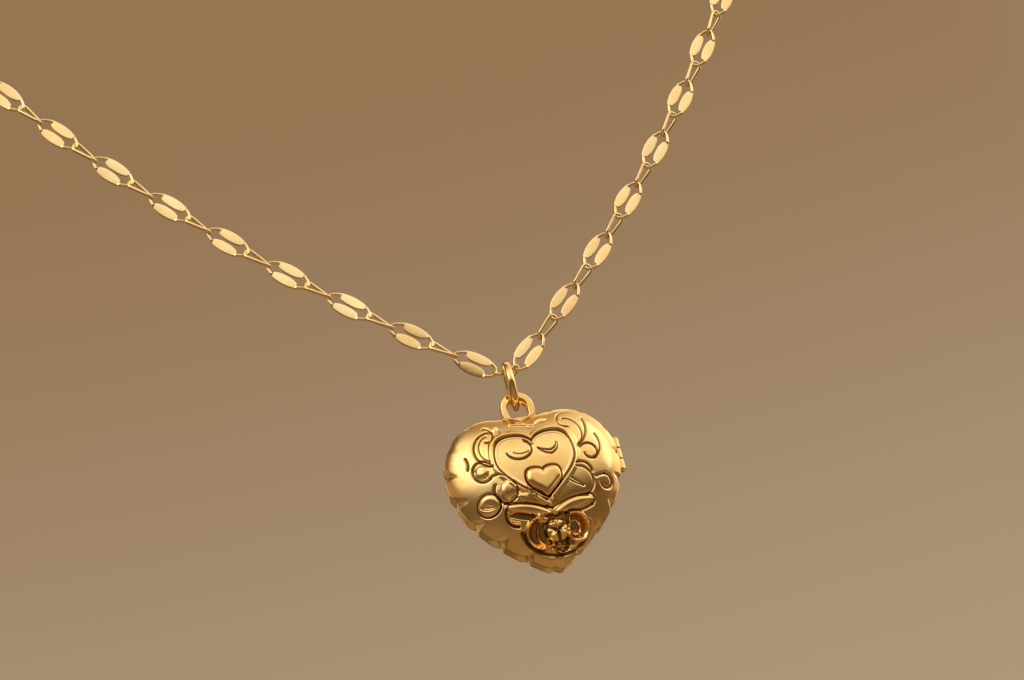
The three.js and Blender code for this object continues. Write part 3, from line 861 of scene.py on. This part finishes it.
def leaf_link(random):
    """A long wire link whose two sides are pressed flat into leaves, each at a slightly different lean."""
    steps, sides, wire = LEAF_GRID["steps"], LEAF_GRID["sides"], LEAF["wire"]
    turn = np.linspace(0, 2 * math.pi, steps, endpoint=False)
    length, width = LEAF["length"] / 2, LEAF["width"] / 2
    swell = np.sign(np.sin(turn)) * np.abs(np.sin(turn)) ** LEAF["pointed"]
    outer = np.column_stack([length * np.cos(turn), width * swell])
    inner = np.column_stack([(length - 2 * wire) * np.cos(turn), (width - 2 * wire) * swell])
    side = np.sign(outer[:, 1] + 1e-9)
    along = outer[:, 0] - side * random.uniform(*LEAF["shift"])
    pressed = smoothstep((LEAF["leaf"] / 2 - np.abs(along)) / LEAF["fade"])
    slit = LEAF["slit"] / 2 + LEAF["taper"] * np.abs(along / LEAF["leaf"] * 2) ** LEAF["opening"]
    leaf_edge = np.column_stack([outer[:, 0], side * slit])
    inner = inner * (1 - pressed[:, None]) + leaf_edge * pressed[:, None]
    thick = wire * (1 - pressed) + LEAF["thin"] * pressed
    verts = strip(outer, inner, thick, 2 + 6 * pressed, sides)
    lean = np.where(side > 0, random.uniform(*LEAF["lean"]), random.uniform(*LEAF["lean"])) * pressed
    verts[..., 1] += lean[:, None] * (np.abs(verts[..., 2]) - width * LEAF["lean_axis"])
    return verts.reshape(-1, 3), tube_faces(steps, sides, close_rows=True)


def make_chain():
    """Every link of both arms, where its CAD node is."""
    random = np.random.default_rng(LINK_SEED)
    for name in sorted(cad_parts):
        if name.startswith("bottom_link"):
            verts, faces = oval_link(**BOTTOM)
            twist = BOTTOM_TWIST
        elif name.startswith("leaf_link"):
            verts, faces = leaf_link(random)
            twist = random.uniform(*LEAF_TWIST)
        elif name.startswith("small_link"):
            verts, faces = oval_link(**SMALL)
            twist = random.uniform(*SMALL_TWIST)
        else:
            continue
        obj = add_object(name.replace("link", "wire"), to_arm(verts, *link_frame(name), twist), faces)
        place(obj, "chain", "chain_gold", CHAIN_GOLD, name)


# ---- fittings ----
def rounded_copy(node, name, voxel, grow):
    """A cast-looking copy of a CAD piece, with its edges eased, grown about its own middle."""
    obj = add_mesh(name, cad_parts[node].data.copy())
    remesh = obj.modifiers.new("remesh", "REMESH")
    remesh.mode = "VOXEL"
    remesh.voxel_size = voxel * MM
    smooth = obj.modifiers.new("ease", "CORRECTIVE_SMOOTH")
    smooth.iterations = EASING_STEPS
    smooth.use_only_smooth = True
    apply_modifiers(obj)
    low, high = node_box(node)
    middle = Vector((low + high) / 2 * MM)
    obj.data.transform(Matrix.Translation(middle) @ Matrix.Scale(grow, 4) @ Matrix.Translation(-middle))
    return obj


def make_fittings():
    """The claw, the tag, the end rings, the catch bead and the hinge."""
    for node, name, voxel, body, slot, material in [
        ("clasp_body", "claw_body", 0.07, "chain", "case_gold", RING_GOLD),
        ("clasp_lever", "claw_gate", 0.06, "claw_lever", "case_gold", RING_GOLD),
        ("clasp_pin", "claw_rivet", 0.05, "chain", "case_gold", RING_GOLD),
        ("end_tag_right", "end_tag", 0.06, "chain", "chain_gold", CHAIN_GOLD),
        ("catch_bead", "snap_bead", 0.03, "locket_back", "case_gold", RING_GOLD),
        ("clasp_ring", "claw_ring", 0.05, "chain", "case_gold", RING_GOLD),
        ("catch_ring", "end_ring", 0.05, "chain", "case_gold", RING_GOLD),
        ("clasp_spring", "claw_spring", 0.04, "chain", "spring_steel", STEEL),
        ("hinge_knuckle_upper", "knuckle_upper", 0.04, "locket_back", "case_gold", RING_GOLD),
        ("hinge_knuckle_lower", "knuckle_lower", 0.04, "locket_back", "case_gold", RING_GOLD),
        ("hinge_knuckle_cover", "knuckle_cover", 0.04, "locket_cover", "case_gold", RING_GOLD),
        ("hinge_pin", "pin", 0.03, "locket_back", "case_gold", RING_GOLD),
    ]:
        grow = RIVET_GROWTH if node == "clasp_pin" else 1.0
        place(rounded_copy(node, name, voxel, grow), body, slot, material, node)


# ---- stage ----
def floor_material():
    """Warm paper, with a painted pool of light under the locket that darkens to painted shade further out.
    """
    n = Nodes("floor_paper_with_painted_light")
    reach = n.add("ShaderNodeVectorMath", operation="LENGTH")
    n.link(n.place, reach.inputs[0])
    near = n.ramp(n.noise(30), (0.3, (0.4, 0.3, 0.2)), (0.7, (0.43, 0.33, 0.225)))
    # Painted light and shade: palest within 8 cm of the floor's middle, under the locket, and darkest from
    # half a metre out.
    colour = n.mix(n.span(reach.outputs["Value"], 0, 1, 0.08, 0.5), near, (0.17, 0.12, 0.08))
    n.drive("Base Color", colour)
    n.set("Roughness", 0.85)
    return n.material


def make_stage():
    """A wide flat floor, well below the locket."""
    size = FLOOR_HALF_SIZE
    corners = [(-size, -size, 0), (size, -size, 0), (size, size, 0), (-size, size, 0)]
    floor = add_object("floor", corners, [[0, 1, 2, 3]])
    floor.location = (0, 0, FLOOR_Z * MM)
    floor.data.materials.append(floor_material())


def make_world():
    """A plain warm studio: bright above and in front, tan behind, dark below, with two soft glows."""
    world = bpy.data.worlds.new("studio")
    bpy.context.scene.world = world
    world.use_nodes = True
    tree = world.node_tree
    background = tree.nodes["Background"]
    place_at = tree.nodes.new("ShaderNodeTexCoord")
    split = tree.nodes.new("ShaderNodeSeparateXYZ")
    tree.links.new(place_at.outputs["Generated"], split.inputs[0])

    def ramp(value, stops):
        """A colour that follows a value from -1 to 1."""
        node = tree.nodes.new("ShaderNodeValToRGB")
        node.color_ramp.interpolation = "EASE"
        elements = node.color_ramp.elements
        while len(elements) < len(stops):
            elements.new(0.5)
        for element, (position, colour) in zip(elements, stops):
            element.position = (position + 1) / 2
            element.color = (*colour, 1)
        lift = tree.nodes.new("ShaderNodeMapRange")
        lift.inputs["From Min"].default_value = -1
        tree.links.new(value, lift.inputs["Value"])
        tree.links.new(lift.outputs["Result"], node.inputs["Fac"])
        return node.outputs["Color"]

    height = split.outputs["Z"]
    front = ramp(height, [
        (-0.2, (0.03, 0.013, 0.005)),
        (0.08, (0.12, 0.06, 0.026)),
        (0.34, (0.92, 0.8, 0.6)),
        (0.6, (1.2, 1.08, 0.86)),
        (0.84, (0.9, 0.78, 0.58)),
        (1.0, (0.45, 0.33, 0.2)),
    ])
    rear = ramp(height, [
        (-0.3, (0.06, 0.03, 0.015)),
        (0.2, (0.42, 0.31, 0.2)),
        (0.5, (0.3, 0.18, 0.085)),
        (0.9, (0.16, 0.1, 0.05)),
    ])
    rearward = tree.nodes.new("ShaderNodeVectorMath")
    rearward.operation = "DOT_PRODUCT"
    rearward.inputs[1].default_value = Vector(REAR_AXIS).normalized()
    tree.links.new(place_at.outputs["Generated"], rearward.inputs[0])
    behind = ramp(rearward.outputs["Value"], [(-0.02, (0, 0, 0)), (0.32, (1, 1, 1))])
    mix = tree.nodes.new("ShaderNodeMix")
    mix.data_type = "RGBA"
    for out, into in ((behind, 0), (front, 6), (rear, 7)):
        tree.links.new(out, mix.inputs[into])

    def glow(under, direction, start, colour):
        """Adds a soft bright patch round a direction, beginning where the cosine is `start`."""
        towards = tree.nodes.new("ShaderNodeVectorMath")
        towards.operation = "DOT_PRODUCT"
        towards.inputs[1].default_value = Vector(direction).normalized()
        tree.links.new(place_at.outputs["Generated"], towards.inputs[0])
        fade = tree.nodes.new("ShaderNodeMapRange")
        fade.interpolation_type = "SMOOTHERSTEP"
        fade.inputs["From Min"].default_value = start
        tree.links.new(towards.outputs["Value"], fade.inputs["Value"])
        lit = tree.nodes.new("ShaderNodeMix")
        lit.data_type, lit.blend_type = "RGBA", "ADD"
        lit.inputs[7].default_value = (*colour, 1)
        tree.links.new(fade.outputs["Result"], lit.inputs[0])
        tree.links.new(under, lit.inputs[6])
        return lit.outputs[2]

    sky = glow(mix.outputs[2], KEY_FROM, 0.8, (0.7, 0.69, 0.64))
    sky = glow(sky, SIDE_FROM, 0.72, (0.75, 0.6, 0.4))
    tree.links.new(sky, background.inputs["Color"])
    background.inputs["Strength"].default_value = 1


def add_light(name, location, target, size, energy, colour):
    """An oval area light, in metres, that points at its target."""
    data = bpy.data.lights.new(name, "AREA")
    data.shape = "ELLIPSE"
    data.size, data.size_y = size
    data.energy = energy
    data.color = colour
    lamp = bpy.data.objects.new(name, data)
    lamp.location = location
    lamp.rotation_mode = "QUATERNION"
    lamp.rotation_quaternion = (Vector(target) - Vector(location)).to_track_quat("-Z", "Y")
    bpy.context.scene.collection.objects.link(lamp)


def make_lights():
    """The key light from the upper left, a fill from the right and one from above and behind."""
    middle = (0, 0, -0.01)
    add_light("key", KEY_FROM, middle, (0.3, 0.3), 0.14, (1, 0.96, 0.88))
    add_light("fill", (0.44, -0.16, 0.26), middle, (0.14, 0.4), 0.14, (1, 0.94, 0.84))
    add_light("top", (0.05, 0.2, 0.5), middle, (0.4, 0.2), 0.12, (1, 0.95, 0.88))


def make_camera():
    """A long lens that looks up at the locket from below its front, rolled a little."""
    yaw, lift, roll = (math.radians(CAMERA[k]) for k in ("yaw", "elevation", "roll"))
    back = Vector((-math.sin(yaw) * math.cos(lift), -math.cos(yaw) * math.cos(lift), math.sin(lift)))
    right = Vector((math.cos(yaw), -math.sin(yaw), 0))
    up = back.cross(right)
    right, up = right * math.cos(roll) + up * math.sin(roll), up * math.cos(roll) - right * math.sin(roll)
    data = bpy.data.cameras.new("camera")
    data.lens = CAMERA["lens"]
    data.clip_start, data.clip_end = 0.01, 20
    camera = bpy.data.objects.new("camera", data)
    axes = Matrix((right, up, back)).transposed().to_4x4()
    axes.translation = (back * CAMERA["distance"] + right * CAMERA["right"] + up * CAMERA["up"]) * MM
    camera.matrix_world = axes
    bpy.context.scene.collection.objects.link(camera)
    bpy.context.scene.camera = camera


bpy.context.scene.view_settings.view_transform = "Standard"
make_camera()
make_world()
make_lights()
make_stage()
make_case()
make_bands()
make_bail()
make_jump_ring()
make_chain()
make_fittings()
